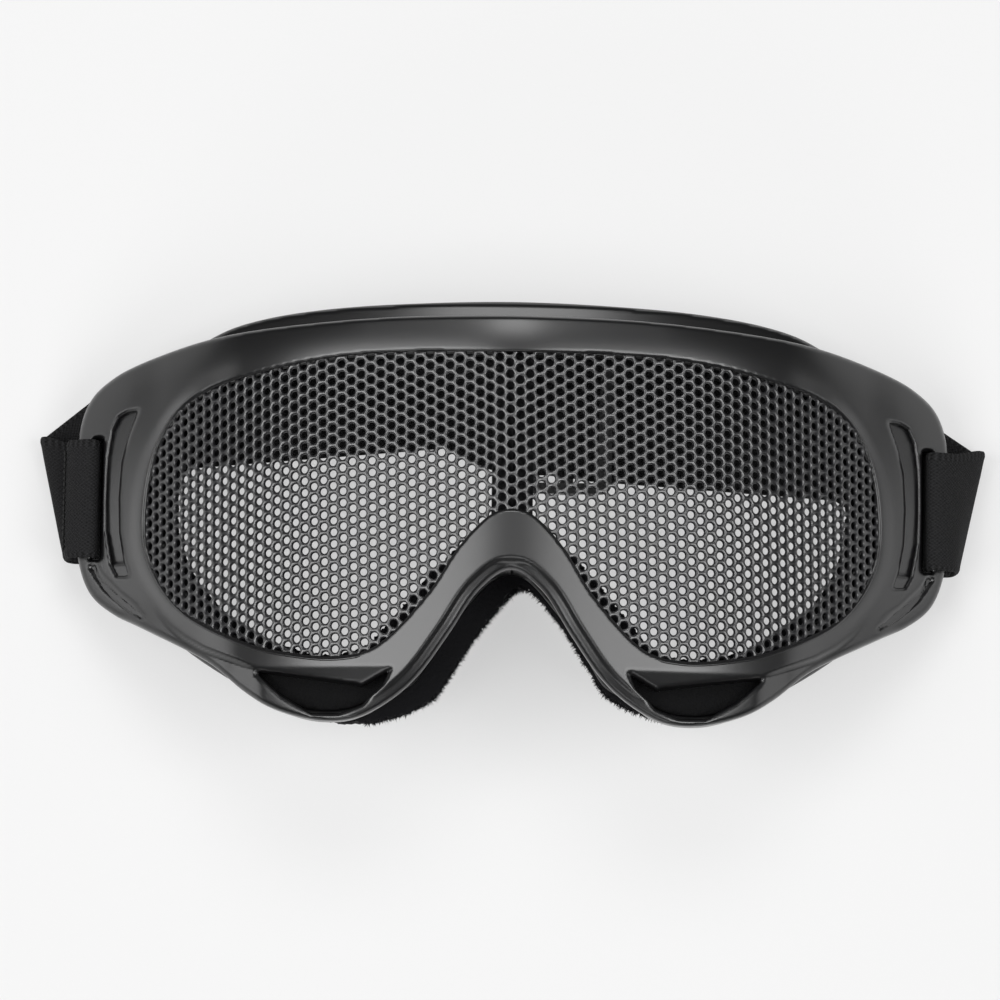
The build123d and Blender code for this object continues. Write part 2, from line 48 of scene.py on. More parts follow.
# All lengths below are in millimetres until a mesh is made, and metres after that
profile = {
    "apexHeight": 59.98,  # top of the lens sheet at the middle
    "slope": 11.5,  # degrees
    "flatReach": 32.0,
    "arcRadius": 92.0,
    "endSlope": 43.0,  # degrees
    "frameCrease": 6.5,  # how softly the frame turns at the middle crease
    "lensCrease": 4.0,
    "flangeApex": 33.0,
    "flangeRadius": 159.07,
    "faceApex": 21.0,
    "faceRadius": 134.0,
}
outlines = {
    "lens": [
        (0, 32.15), (30, 32), (52, 29), (69.2, 23.6), (77.3, 13), (79.7, -1.8), (77.5, -12.5),
        (70, -22.5), (57.5, -29.2), (47.4, -31.9), (36.4, -32.75), (27.6, -30), (17.7, -19.5),
        (11.3, -9.65), (5, -3), (0, -1.45),
    ],
    "front": [
        (0, 40.05), (25, 39.9), (48.7, 38.4), (63, 37), (73, 35.3), (82, 32.9), (88.3, 30.2),
        (93.1, 26.2), (95.6, 20), (96.4, 11), (96.4, 2), (95.5, -8.8), (92.6, -16.8), (87.2, -21.6),
        (80, -25.3),
        (65.5, -33), (56.7, -40), (50, -43.9), (41, -46.35), (33, -46), (25.6, -42.2),
        (19.3, -36.6), (13, -27.8), (7, -18.7), (0, -14.05),
    ],
    "body": [
        (0, 39.2), (25, 39), (48.5, 37.4), (65, 34.6), (78, 28), (85.5, 17), (88, 2), (85.5, -12),
        (78, -23.5), (66, -32), (56, -39.4), (48, -43.6), (41, -45.4), (33.5, -44.9), (26, -41.3),
        (19.9, -35.9), (13.8, -27.2), (8, -19.1), (0, -14.85),
    ],
    "rear": [
        (0, 46.35), (21, 45.9), (40, 44.9), (55.4, 42.9), (66, 39.5), (77, 32), (84.5, 20),
        (87, 4), (84.5, -12), (76, -25), (60, -36.5), (45, -43), (32, -44.2), (20, -40),
        (14.3, -32.4), (8.1, -23.2), (0, -15.8),
    ],
    "opening": [
        (0, 34), (22.6, 33.7), (40, 32.5), (55, 30), (66, 24), (72.5, 13), (74, 2), (71.5, -9),
        (64, -19.5), (52, -27.5), (41, -30.5), (32, -29), (25, -22), (17, -12.5), (9, -5.5), (0, -3.2),
    ],
}


def lensHeight(x):
    # a straight slope from the middle crease, then an arc, then straight again at the end slope
    p = profile
    x = np.abs(x)
    s0, s1 = math.radians(p["slope"]), math.radians(p["endSlope"])
    arcEnd = p["flatReach"] + p["arcRadius"] * (math.sin(s1) - math.sin(s0))
    bend = p["apexHeight"] - p["flatReach"] * math.tan(s0)
    sine = np.clip(math.sin(s0) + (x - p["flatReach"]) / p["arcRadius"], math.sin(s0), math.sin(s1))
    arc = bend - p["arcRadius"] * (math.cos(s0) - np.sqrt(1 - sine**2))
    height = np.where(x < p["flatReach"], p["apexHeight"] - x * math.tan(s0), arc)
    return height - np.maximum(x - arcEnd, 0) * math.tan(s1)


def frameHeight(x):
    return lensHeight(np.hypot(x, profile["frameCrease"]))


def arcHeight(x, apex, radius):
    return apex - radius + np.sqrt(radius**2 - x**2)


def flangeHeight(x):
    return arcHeight(x, profile["flangeApex"], profile["flangeRadius"])


def smoothStep(value, start, end):
    t = np.clip((value - start) / (end - start), 0, 1)
    return t * t * (3 - 2 * t)


def roundEdge(distance, radius):
    # drop of a quarter-round edge, 0 from one radius inside the edge
    d = np.clip(distance, 0, radius)
    return radius - np.sqrt(np.maximum(radius**2 - (radius - d) ** 2, 0))


def smoothLine(points, pieces):
    # Catmull-Rom curve through the points, level at both ends because the outline is mirrored there
    p = np.array(points, float)
    first, last = p[1] * (-1, 1), p[-2] * (-1, 1)
    p = np.vstack([first, p, last])
    rows = []
    for i in range(1, len(p) - 2):
        t = np.linspace(0, 1, pieces, endpoint=False)[:, None]
        a, b, c, d = p[i - 1], p[i], p[i + 1], p[i + 2]
        bend, twist = 2 * a - 5 * b + 4 * c - d, 3 * b - a - 3 * c + d
        rows.append(0.5 * (2 * b + (c - a) * t + bend * t**2 + twist * t**3))
    return np.vstack(rows + [p[-2:-1]])


halves = {name: smoothLine(points, 7) for name, points in outlines.items()}


def lineDistance(px, py, line, closed=False):
    # distance to a line of points, positive on its inner side by the even-odd rule
    best = np.full(px.shape, 1e9)
    odd = np.zeros(px.shape, bool)
    nodes = np.vstack([line, line[:1]]) if closed else line
    for (x0, y0), (x1, y1) in zip(nodes, nodes[1:]):
        dx, dy = x1 - x0, y1 - y0
        t = np.clip(((px - x0) * dx + (py - y0) * dy) / max(dx * dx + dy * dy, 1e-12), 0, 1)
        best = np.minimum(best, np.hypot(px - x0 - t * dx, py - y0 - t * dy))
        if y0 != y1:
            odd ^= ((y0 > py) != (y1 > py)) & (px < x0 + (py - y0) / (y1 - y0) * dx)
    return np.where(odd, best, -best)


def outlineDistance(name, px, py):
    return lineDistance(np.abs(px), py, halves[name])


def polygonDistance(px, py, points):
    return lineDistance(np.abs(px), py, np.array(points, float), closed=True)


def makeMesh(name, points, faces, uv=None):
    mesh = bpy.data.meshes.new(name)
    mesh.from_pydata(np.asarray(points) * mm, [], faces)
    mesh.validate()
    mesh.polygons.foreach_set("use_smooth", [True] * len(mesh.polygons))
    if uv is not None:
        layer = mesh.uv_layers.new(name="webbing")
        loops = np.zeros(len(mesh.loops), np.int32)
        mesh.loops.foreach_get("vertex_index", loops)
        layer.data.foreach_set("uv", (np.asarray(uv) * mm)[loops].astype(np.float32).ravel())
    mesh.update()
    made = bpy.data.objects.new(name, mesh)
    bpy.context.scene.collection.objects.link(made)
    return made


def shapedShell(name, inside, outer, inner, step, aSpan, bSpan):
    # a closed solid between two copies of a flat grid: cells outside the shape are left out, and the
    # grid points next to its edge are moved along the distance's gradient until they lie on the edge
    a = np.arange(aSpan[0], aSpan[1] + step, step)
    b = np.arange(bSpan[0], bSpan[1] + step, step)
    gridA, gridB = np.meshgrid(a, b, indexing="ij")
    depth = inside(gridA, gridB)
    slopeA, slopeB = np.gradient(depth, step)
    length = np.maximum(np.hypot(slopeA, slopeB), 1e-6)
    slopeA, slopeB = slopeA / length, slopeB / length
    core = depth >= 0.3 * step
    cells = core[:-1, :-1] | core[1:, :-1] | core[:-1, 1:] | core[1:, 1:]
    used = np.zeros_like(core)
    for i in (0, 1):
        for j in (0, 1):
            used[i : used.shape[0] - 1 + i, j : used.shape[1] - 1 + j] |= cells
    edge = used & ~core
    pa, pb = gridA[edge], gridB[edge]
    move = depth[edge]
    for attempt in range(3):
        pa = pa - move * slopeA[edge]
        pb = pb - move * slopeB[edge]
        move = inside(pa, pb)
    gridA[edge], gridB[edge] = pa, pb
    depth = np.where(edge, 0, depth)
    number = -np.ones(core.shape, int)
    count = int(used.sum())
    number[used] = np.arange(count)
    top = np.stack(outer(gridA[used], gridB[used], depth[used]), 1)
    under = np.stack(inner(gridA[used], gridB[used], depth[used]), 1)
    i, j = np.nonzero(cells)
    quads = np.stack([number[i, j], number[i + 1, j], number[i + 1, j + 1], number[i, j + 1]], 1)
    faces = np.vstack([quads, quads[:, ::-1] + count])
    padded = np.pad(cells, 1)
    skirts = []
    # each side of a cell: the step to its neighbour there, and the side's two corners
    cellSides = [
        (-1, 0, (0, 1), (0, 0)), (1, 0, (1, 0), (1, 1)), (0, -1, (0, 0), (1, 0)), (0, 1, (1, 1), (0, 1)),
    ]
    for di, dj, c0, c1 in cellSides:
        bare = cells & ~padded[1 + di : padded.shape[0] - 1 + di, 1 + dj : padded.shape[1] - 1 + dj]
        i, j = np.nonzero(bare)
        p, q = number[i + c0[0], j + c0[1]], number[i + c1[0], j + c1[1]]
        skirts.append(np.stack([q, p, p + count, q + count], 1))
    faces = np.vstack([faces] + skirts)
    return makeMesh(name, np.vstack([top, under]), faces.tolist())


def upright(top, low):
    # both faces of a plate that stands over the same points
    return (lambda x, y, d: (x, y, top(x, y, d))), (lambda x, y, d: (x, y, low(x, y, d)))


def linear(hexColour):
    parts = [int(hexColour[i : i + 2], 16) / 255 for i in (1, 3, 5)]
    return [c / 12.92 if c <= 0.04045 else ((c + 0.055) / 1.055) ** 2.4 for c in parts] + [1]


def addNode(material, kind, links=(), **values):
    # new node with its values set by socket name, and links of (output socket, input name)
    node = material.node_tree.nodes.new(kind)
    for key, value in values.items():
        if key in node.inputs:
            node.inputs[key].default_value = value
        else:
            setattr(node, key, value)
    for source, target in links:
        material.node_tree.links.new(source, node.inputs[target])
    return node


def newMaterial(name, colour, roughness, specular=0.5):
    material = bpy.data.materials.new(name)
    material.use_nodes = True
    shader = material.node_tree.nodes["Principled BSDF"]
    shader.inputs["Base Color"].default_value = linear(colour)
    shader.inputs["Roughness"].default_value = roughness
    shader.inputs["Specular IOR Level"].default_value = specular
    return material, shader


def grainBump(material, shader, pitch, height, detail=2.0):
    # noise whose features are pitch millimetres apart, as a bump that is height millimetres high
    place = addNode(material, "ShaderNodeTexCoord")
    spot = [(place.outputs["Object"], "Vector")]
    noise = addNode(material, "ShaderNodeTexNoise", spot, Scale=1 / (pitch * mm), Detail=detail)
    rise = [(noise.outputs["Fac"], "Height")]
    bump = addNode(material, "ShaderNodeBump", rise, Strength=1.0, Distance=height * mm)
    material.node_tree.links.new(bump.outputs["Normal"], shader.inputs["Normal"])


print("stage: frame moulding")
moulding = {
    "step": 0.45,
    "rise": 1.5,  # of the face above the line of the lens
    "depth": 3.5,  # from that line down to the back of the front
    "edgeRadius": 0.9,
    "innerRadius": 0.45,
    "crownDrop": 0.9,
    "crownWidth": 7.7,
    "innerDrop": 0.8,  # beside the ends of the lens
    "innerDropWidth": 4.0,
    "wingFall": 0.003,  # per square millimetre
    "wingMiddle": 2.0,
    "wingEndDrop": 0.6,
    "ledgeWidth": 2.5,
    "ledgeDrop": 0.9,
    "ledgeFall": 0.3,
    "facetTop": -34.9,
    "facetSlope": 0.4,
    "lobeDrop": 1.8,
    "creaseDrop": 1.0,
    "colour": "#0d0d0e",
    "roughness": 0.28,
}
recessOutline = [
    (82.2, 22.2), (84.6, 22.0), (86.4, 21.2), (87.8, 18.3), (88.5, 13.5), (88.8, 9.0),
    (88.9, 3.0), (88.6, -3.9), (87.3, -10.8), (85.8, -13.5), (83.6, -13.7), (84.6, -10.7),
    (85.8, -4.2), (86.1, 3.4), (85.6, 11.3), (84.3, 16.6),
]
slotOutline = [
    (89.9, 16.7), (90.4, 17.1), (92.0, 17.1), (92.5, 16.7),
    (92.5, -9.4), (92.0, -9.8), (90.4, -9.8), (89.9, -9.4),
]
creaseOutline = [
    (92.3, -11.2), (89.7, -14.9), (84.9, -19.2), (80.1, -22.9),
    (84.3, -20.1), (88.9, -16.1), (91.0, -13.2), (91.3, -11.2),
]
ventOutline = [
    (53.9, -35.9), (32.2, -38.9), (31.6, -39.3), (25.6, -35.9), (26.9, -38.9), (31.2, -43.1), (36, -44.9),
    (42, -44.9), (48.6, -41.0), (53.2, -37.0),
]
# Lines across the front, from the middle outward: the upper edge of the vent's pocket, the fold over
# the lobe beside the vent, and the upper crease of the wing
pocketLine = [(24.6, -35.0), (31.6, -39.3), (32.2, -38.9), (54.2, -35.9)]
foldLine = [(53.9, -35.2), (61.0, -32.6), (66.0, -30.6), (70.5, -28.0), (73.9, -25.2), (77.4, -21.4)]
creaseLine = [(80.1, -21.3), (84.9, -18.0), (89.7, -13.2), (93, -8)]
# cosine of the slope of two of them, which turns a height into a distance across the line
foldCosine, creaseCosine = 0.75, 0.7


def frontInside(x, y):
    region = np.minimum(outlineDistance("front", x, y), -outlineDistance("lens", x, y))
    for hole in (recessOutline, slotOutline, creaseOutline, ventOutline):
        region = np.minimum(region, -polygonDistance(x, y, hole))
    return region


def lineY(side, line):
    return np.interp(side, *np.array(line, float).T)


def wingFall(x, y):
    # the wings are rounded from top to bottom
    return moulding["wingFall"] * (y - moulding["wingMiddle"]) ** 2 * smoothStep(np.abs(x), 58, 80)


def frontTop(x, y, edge):
    side = np.abs(x)
    outer = outlineDistance("front", x, y)
    fromLens = -outlineDistance("lens", x, y)
    drop = np.where(
        fromLens <= edge + 0.001,
        roundEdge(edge, moulding["innerRadius"]),
        roundEdge(edge, moulding["edgeRadius"]),
    )
    # the brow is crowned
    brow = smoothStep(y, -10, 15)
    drop = drop + moulding["crownDrop"] * brow * np.clip(1 - outer / moulding["crownWidth"], 0, 1) ** 2
    # beside its ends the frame falls to the lens
    inner = np.clip(1 - fromLens / moulding["innerDropWidth"], 0, 1) ** 2
    drop = drop + moulding["innerDrop"] * inner * smoothStep(side, 66, 76)
    # ledge along the nose, which falls away to the outer edge
    ledge = smoothStep(moulding["ledgeWidth"] + 0.3 - outer, 0, 0.6)
    ledge = ledge * smoothStep(-y, 11, 13) * smoothStep(36 - side, 0, 12)
    pastLedge = np.maximum(moulding["ledgeWidth"] - outer, 0)
    drop = drop + ledge * (moulding["ledgeDrop"] + moulding["ledgeFall"] * pastLedge)
    # slanted upper facet of the cheek vents, down to the edge of the pocket
    inFacet = (side > 24.8) * (side < 54.0) * (y > lineY(side, pocketLine) - 0.6)
    drop = drop + moulding["facetSlope"] * np.maximum(moulding["facetTop"] - y, 0) * inFacet
    # the lobe under the fold line lies lower, and so does the wing under its upper crease
    below = (lineY(side, foldLine) - y) * foldCosine
    lobe = smoothStep(below, -0.25, 0.4) * smoothStep(side, 52, 60) * smoothStep(78 - side, 0, 14)
    drop = drop + moulding["lobeDrop"] * lobe
    below = (lineY(side, creaseLine) - y) * creaseCosine
    sunk = smoothStep(below, -0.3, 0.5) * smoothStep(side, 80, 85)
    drop = drop + moulding["creaseDrop"] * sunk
    # the wing falls away to its end
    wingEnd = smoothStep(side, 83, 95) * smoothStep(y, -12, 0)
    return frameHeight(x) + moulding["rise"] - drop - moulding["wingEndDrop"] * wingEnd - wingFall(x, y)


def frontLow(x, y, edge):
    return frameHeight(x) - moulding["depth"] - wingFall(x, y)


pieces = {}


def addShell(name, inside, faces, step, aSpan, bSpan):
    pieces[name] = shapedShell(name, inside, *faces, step, aSpan, bSpan)


frontFaces = upright(frontTop, frontLow)
addShell("frame_front", frontInside, frontFaces, moulding["step"], (-97.2, 97.2), (-47.25, 41.4))

# Fine bead round the lens, which sinks into the frame along the brow and beside the nose
bead = {
    "section": [(0.45, -0.5), (0.5, 0.08), (0.66, 0.25), (0.86, 0.25), (1.02, 0.08), (1.07, -0.5)],
    "sunk": 0.5,
    "browEnd": 66.0,
    "noseEnd": 30.0,
    "fade": 3.0,
}


def closedOutline(half):
    # whole outline, once round, from a half outline that starts and ends on the middle
    return np.vstack([half, half[-2:0:-1] * (-1, 1)])


def outwardNormals(loop):
    run = np.roll(loop, -1, 0) - np.roll(loop, 1, 0)
    run = run / np.linalg.norm(run, axis=1)[:, None]
    normal = np.stack([-run[:, 1], run[:, 0]], 1)
    return normal if np.sum(normal * loop) >= 0 else -normal


def sweepRing(name, half, section, base):
    # a section swept round a closed outline: how far outward and how far above the base at each place
    loop = closedOutline(half)
    normal = outwardNormals(loop)
    rows = []
    for across, rise in section:
        place = loop + normal * across
        rows.append(np.stack([place[:, 0], place[:, 1], base(place[:, 0], place[:, 1]) + rise], 1))
    count, turns = len(loop), len(section)
    points = np.vstack(rows)
    faces = []
    for k in range(turns):
        n = (k + 1) % turns
        for i in range(count):
            j = (i + 1) % count
            faces.append((k * count + i, n * count + i, n * count + j, k * count + j))
    return makeMesh(name, points, faces)


def beadBase(x, y):
    side = np.abs(x)
    low = smoothStep(side, bead["noseEnd"], bead["noseEnd"] + bead["fade"]) * smoothStep(-y, 10, 14)
    share = np.maximum(low, smoothStep(side, bead["browEnd"], bead["browEnd"] + bead["fade"]))
    return frontTop(x, y, moulding["edgeRadius"]) - bead["sunk"] * (1 - share)


pieces["lens_bead"] = sweepRing("lens_bead", halves["lens"], bead["section"], beadBase)

# Floors of the side recesses, with a small stop at the lower end, and of the creases in the wings
recess = {"depth": 1.8, "thickness": 0.9, "lap": 0.8, "stopHeight": 0.9, "step": 0.4}
crease = {"depth": 1.0, "bottom": 3.4, "lap": 0.7}


def recessInside(x, y):
    return polygonDistance(x, y, recessOutline) + recess["lap"]


def recessTop(x, y, edge):
    stop = recess["stopHeight"] * smoothStep(-y, 10.6, 11.4)
    return lensHeight(x) + moulding["rise"] - recess["depth"] + stop - wingFall(x, y)


def creaseInside(x, y):
    return polygonDistance(x, y, creaseOutline) + crease["lap"]


recessFaces = upright(recessTop, lambda x, y, d: recessTop(x, y, d) - recess["thickness"])
creaseFaces = upright(
    lambda x, y, d: lensHeight(x) - crease["depth"], lambda x, y, d: lensHeight(x) - crease["bottom"]
)
for side, span in (("left", (-94, -78)), ("right", (78, 94))):
    addShell("recess_floor_" + side, recessInside, recessFaces, recess["step"], span, (-16, 25))
    addShell("crease_floor_" + side, creaseInside, creaseFaces, recess["step"], span, (-25, -8))


def noseShare(x, y):
    # 1 beside the nose and under the cheeks, 0 elsewhere
    return smoothStep(-y, 8, 14) * smoothStep(48 - np.abs(x), 0, 8)


# Side wall with six vents through the brow
wall = {
    "foot": 1.6,  # above the underside of the flange
    "headroom": 2.9,  # under the line of the lens
    "noseInset": 1.6,
    "thickness": 2.6,
    "cheekThickness": 1.2,
    "vents": 6,
    "ventWidth": 12.0,
    "ventHeight": 7.0,
    "ventSpacing": 18.0,
    "ventCorner": 1.2,
    "ventOverFlange": 2.2,  # the vents stand midway between these two
    "ventUnderLens": 3.5,
    "step": 0.6,
}
bodyLoop = closedOutline(halves["body"])
bodyLoop = np.vstack([bodyLoop, bodyLoop[:1]])
bodyRun = np.concatenate([[0], np.cumsum(np.linalg.norm(np.diff(bodyLoop, axis=0), axis=1))])
bodyNormal = outwardNormals(bodyLoop[:-1])
bodyNormal = np.vstack([bodyNormal, bodyNormal[:1]])
wallShift = bodyRun[-1] / 2


def wallPlace(a):
    # the run starts at the nose, so that the brow lies in the middle of the grid
    run = np.mod(a + wallShift, bodyRun[-1])
    x, y = np.interp(run, bodyRun, bodyLoop[:, 0]), np.interp(run, bodyRun, bodyLoop[:, 1])
    nx, ny = np.interp(run, bodyRun, bodyNormal[:, 0]), np.interp(run, bodyRun, bodyNormal[:, 1])
    size = np.hypot(nx, ny)
    return x, y, nx / size, ny / size


def wallInside(a, b):
    x, y, nx, ny = wallPlace(a)
    tall = lensHeight(x) - wall["headroom"] - flangeHeight(x) - wall["foot"]
    region = np.minimum(np.minimum(b, tall - b), np.minimum(a, bodyRun[-1] - a))
    for k in range(wall["vents"]):
        ventX = (k - (wall["vents"] - 1) / 2) * wall["ventSpacing"]
        low = flangeHeight(ventX) + wall["ventOverFlange"]
        high = lensHeight(abs(ventX) + wall["ventWidth"] / 2) - wall["ventUnderLens"]
        middle = (low + high) / 2
        # distance to a rectangle with round corners
        dx = np.abs(x - ventX) - wall["ventWidth"] / 2 + wall["ventCorner"]
        dz = np.abs(flangeHeight(x) + wall["foot"] + b - middle) - wall["ventHeight"] / 2 + wall["ventCorner"]
        past = np.hypot(np.maximum(dx, 0), np.maximum(dz, 0)) + np.minimum(np.maximum(dx, dz), 0)
        region = np.where(y > 0, np.minimum(region, past - wall["ventCorner"]), region)
    return region


def wallOuter(a, b, d):
    x, y, nx, ny = wallPlace(a)
    inset = wall["noseInset"] * noseShare(x, y) * smoothStep(30 - np.abs(x), 0, 6)
    return x - nx * inset, y - ny * inset, flangeHeight(x) + wall["foot"] + b


def wallInner(a, b, d):
    # thinner behind the cheek vents
    x, y, nx, ny = wallPlace(a)
    share = smoothStep(np.abs(x), 24, 30) * smoothStep(-y, 32, 36)
    thickness = wall["thickness"] + (wall["cheekThickness"] - wall["thickness"]) * share
    return x - nx * thickness, y - ny * thickness, flangeHeight(x) + wall["foot"] + b


addShell("frame_wall", wallInside, (wallOuter, wallInner), wall["step"], (0, bodyRun[-1]), (0, 24))

# Rear flange that carries the foam, and the strut behind the middle of the lens
flange = {
    "thickness": 2.2,
    "setback": 3.0,
    "edgeRadius": 0.8,
    "step": 0.7,
    "noseInset": 2.6,
    "fall": 0.18,
    "fallWidth": 4.0,
}


def flangeTop(x, y, edge):
    # the outer part of the upper side falls away to the edge
    fall = flange["fall"] * np.maximum(flange["fallWidth"] - edge, 0)
    return flangeHeight(x) + flange["thickness"] - fall - roundEdge(edge, flange["edgeRadius"])


def flangeInside(x, y):
    outer = outlineDistance("rear", x, y) - flange["noseInset"] * noseShare(x, y)
    return np.minimum(outer, -outlineDistance("opening", x, y) - flange["setback"])


flangeFaces = upright(flangeTop, lambda x, y, d: flangeHeight(x))
addShell("frame_flange", flangeInside, flangeFaces, flange["step"], (-88.2, 88.2), (-47.6, 47.6))
strut = {"halfWidth": 4.4, "drop": 2.2, "depth": 5.5, "roof": 0.5, "lap": 2.4, "step": 0.5}


def strutInside(x, y):
    return np.minimum(strut["halfWidth"] - np.abs(x), outlineDistance("lens", x, y) + strut["lap"])


strutFaces = upright(
    lambda x, y, d: lensHeight(x) - strut["drop"] - strut["roof"] * np.abs(x),
    lambda x, y, d: lensHeight(x) - strut["depth"],
)
addShell("frame_strut", strutInside, strutFaces, strut["step"], (-5, 5), (-6, 36))
# the strut's roof has a sharp ridge, so it is shaded flat
strutPolygons = pieces["frame_strut"].data.polygons
strutPolygons.foreach_set("use_smooth", [False] * len(strutPolygons))

# Soft moulded rubber-like plastic, satin black, with a very fine moulded grain
rubber, shader = newMaterial("satin_moulded_rubber", moulding["colour"], moulding["roughness"], specular=0.7)
grainBump(rubber, shader, pitch=0.35, height=0.006)
for name, piece in pieces.items():
    piece.data.materials.append(rubber)
    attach(piece, "goggle")
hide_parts("frame")

print("stage: mesh lens")
sheet = {
    "pitch": 2.5,
    "openRadius": 0.8,
    "lipWidth": 0.08,  # rounded edge of each hole, and how far it falls
    "lipDrop": 0.16,
    "rimRadius": 1.02,
    "rimDrop": 0.02,
    "thickness": 0.8,
    "turn": 1.8,  # degrees that the lattice is turned in the frame
    "columnsEachWay": 48,
    "rowsEachWay": 20,
    "underLip": 1.5,
    "grooveDrop": 0.35,
    "sides": 12,
    "colour": "#18181a",
    "roughness": 0.3,
}
profileX = np.linspace(0, 100, 2001)
profileZ = lensHeight(np.hypot(profileX, profile["lensCrease"]))
profileRun = np.concatenate([[0], np.cumsum(np.hypot(np.diff(profileX), np.diff(profileZ)))])


def onLens(run, y, rise):
    # a point of the flat sheet, bent to the profile, rise millimetres off its face
    x = np.interp(np.abs(run), profileRun, profileX)
    z = np.interp(np.abs(run), profileRun, profileZ)
    probe = 0.05
    ahead = np.interp(x + probe, profileX, profileZ)
    behind = np.interp(np.maximum(x - probe, 0), profileX, profileZ)
    slope = (ahead - behind) / np.where(x < probe, x + probe, 2 * probe)
    angle = np.arctan(-slope)
    return np.stack([np.sign(run) * (x + rise * np.sin(angle)), y, z + rise * np.cos(angle)], -1)


turn = math.radians(sheet["turn"])
sides = sheet["sides"]
columnStep = sheet["pitch"] * math.cos(math.radians(30))
columns, rows = np.meshgrid(
    np.arange(-sheet["columnsEachWay"], sheet["columnsEachWay"] + 1),
    np.arange(-sheet["rowsEachWay"], sheet["rowsEachWay"] + 1),
    indexing="ij",
)
flatX = columns * columnStep
flatY = rows * sheet["pitch"] + np.mod(columns, 2) * sheet["pitch"] / 2
centreRun = (flatX * math.cos(turn) - flatY * math.sin(turn)).ravel()
centreY = (flatX * math.sin(turn) + flatY * math.cos(turn)).ravel()
centreX = np.sign(centreRun) * np.interp(np.abs(centreRun), profileRun, profileX)
kept = outlineDistance("lens", centreX, centreY) > -sheet["underLip"]
centreRun, centreY = centreRun[kept], centreY[kept]
angles = np.arange(sides) * 2 * math.pi / sides
# each hole has a hexagonal cell: corners at 0, 60, 120 degrees and the middles of its sides between them
cellRadius = sheet["pitch"] / 2 / np.cos(np.where(np.arange(sides) % 2 == 0, math.pi / 6, 0))
rings = [
    (cellRadius, 0.0),
    (sheet["rimRadius"], -sheet["rimDrop"]),
    (sheet["openRadius"] + sheet["lipWidth"], -sheet["lipDrop"]),
    (sheet["openRadius"], -sheet["thickness"]),
]
points = []
for radius, rise in rings:
    run = centreRun[:, None] + radius * np.cos(angles + turn)
    y = centreY[:, None] + radius * np.sin(angles + turn)
    points.append(onLens(run, y, rise))
points = np.stack(points, 1).reshape(-1, 3)
# past the opening the sheet is bent down a little into the groove of the frame
pastOpening = -outlineDistance("lens", points[:, 0], points[:, 1])
points[:, 2] -= sheet["grooveDrop"] * smoothStep(pastOpening, 0.5, 1.2)
faces = []
for hole in range(len(centreRun)):
    for ring in range(len(rings) - 1):
        outside = (hole * len(rings) + ring) * sides
        inside = outside + sides
        for k in range(sides):
            n = (k + 1) % sides
            faces.append((outside + k, outside + n, inside + n, inside + k))
lens = makeMesh("lens_mesh", points, faces)
# Perforated steel sheet with a black coating, smooth and slightly uneven
coated, shader = newMaterial("black_coated_steel", sheet["colour"], sheet["roughness"], specular=0.9)
grainBump(coated, shader, pitch=1.2, height=0.01)
lens.data.materials.append(coated)
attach(lens, "goggle")
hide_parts("mesh_lens")

print("stage: foams")
foam = {
    "inset": 0.8,
    "noseShift": 1.8,  # the foam sits a little to one side beside the nose
    "noseGrow": 1.6,
    "step": 0.6,
    "edgeRadius": 2.6,
    "channelSlack": 0.6,  # beside the strap
    "fuzz": 0.25,
    "fuzzRise": 0.3,  # share of the fuzz in height
    "fibres": 4000,
    "fibreReach": 33.0,  # the fibres stand within this and below the next
    "fibreTop": -10.0,
    "fibreFoot": 1.2,  # above the face side of the foam
    "fibreHeadroom": 0.4,
    "fibreSpread": 0.55,
    "fibreLength": 1.5,
    "fibreWidth": 0.13,
    "rootDepth": 0.25,
    "colour": "#141416",
    "roughness": 0.95,
}
strap = {
    "width": 26.0,
    "thickness": 1.4,
    "gap": 0.3,
    "route": [(-97, 7.8), (-76, 25), (-13, 31), (0, 25), (76, 20.2), (95, 7.7)],
    "bendRadius": 14.0,
    "centreY": 3.65,
    "foldReach": 105.2,
    "foldSetback": 6.0,
    "foldLean": 1.8,
    "bulge": 0.5,
    "colour": "#212122",
    "roughness": 0.9,
}


def filletedRoute(corners, radius, step):
    # straight runs with their corners rounded by arcs, as points an even step apart
    p = [np.array(c, float) for c in corners]
    path = [p[0]]
    for before, corner, after in zip(p, p[1:], p[2:]):
        u, v = before - corner, after - corner
        u, v = u / np.linalg.norm(u), v / np.linalg.norm(v)
        half = math.acos(np.clip(u @ v, -1, 1)) / 2
        reach = radius / math.tan(half)
        centre = corner + (u + v) / np.linalg.norm(u + v) * radius / math.sin(half)
        a, b = corner + u * reach - centre, corner + v * reach - centre
        for t in np.linspace(0, 1, 9):
            c = a * (1 - t) + b * t
            path.append(centre + c / np.linalg.norm(c) * radius)
    path.append(p[-1])
    path = np.array(path)
    run = np.concatenate([[0], np.cumsum(np.linalg.norm(np.diff(path, axis=0), axis=1))])
    even = np.linspace(0, run[-1], int(run[-1] / step) + 1)
    return np.stack([np.interp(even, run, path[:, 0]), np.interp(even, run, path[:, 1])], 1)


route = filletedRoute(strap["route"], strap["bendRadius"], 1.0)
routeAhead = np.gradient(route, axis=0)
routeAhead = routeAhead / np.linalg.norm(routeAhead, axis=1)[:, None]
routeSide = np.stack([-routeAhead[:, 1], routeAhead[:, 0]], 1)
layerStep = strap["thickness"] + strap["gap"]


def channelHeight(x, y):
    # the strap presses a channel into the foam: one layer deep on the left, two on the right
    reach = strap["width"] / 2 + foam["channelSlack"]
    away = np.abs(lineDistance(x, y, route[::3]))
    deep = np.where(x < 0, layerStep, 2 * layerStep)
    return np.where(away < reach, deep, 0)


def faceHeight(x):
    return np.maximum(arcHeight(x, profile["faceApex"], profile["faceRadius"]), 0)


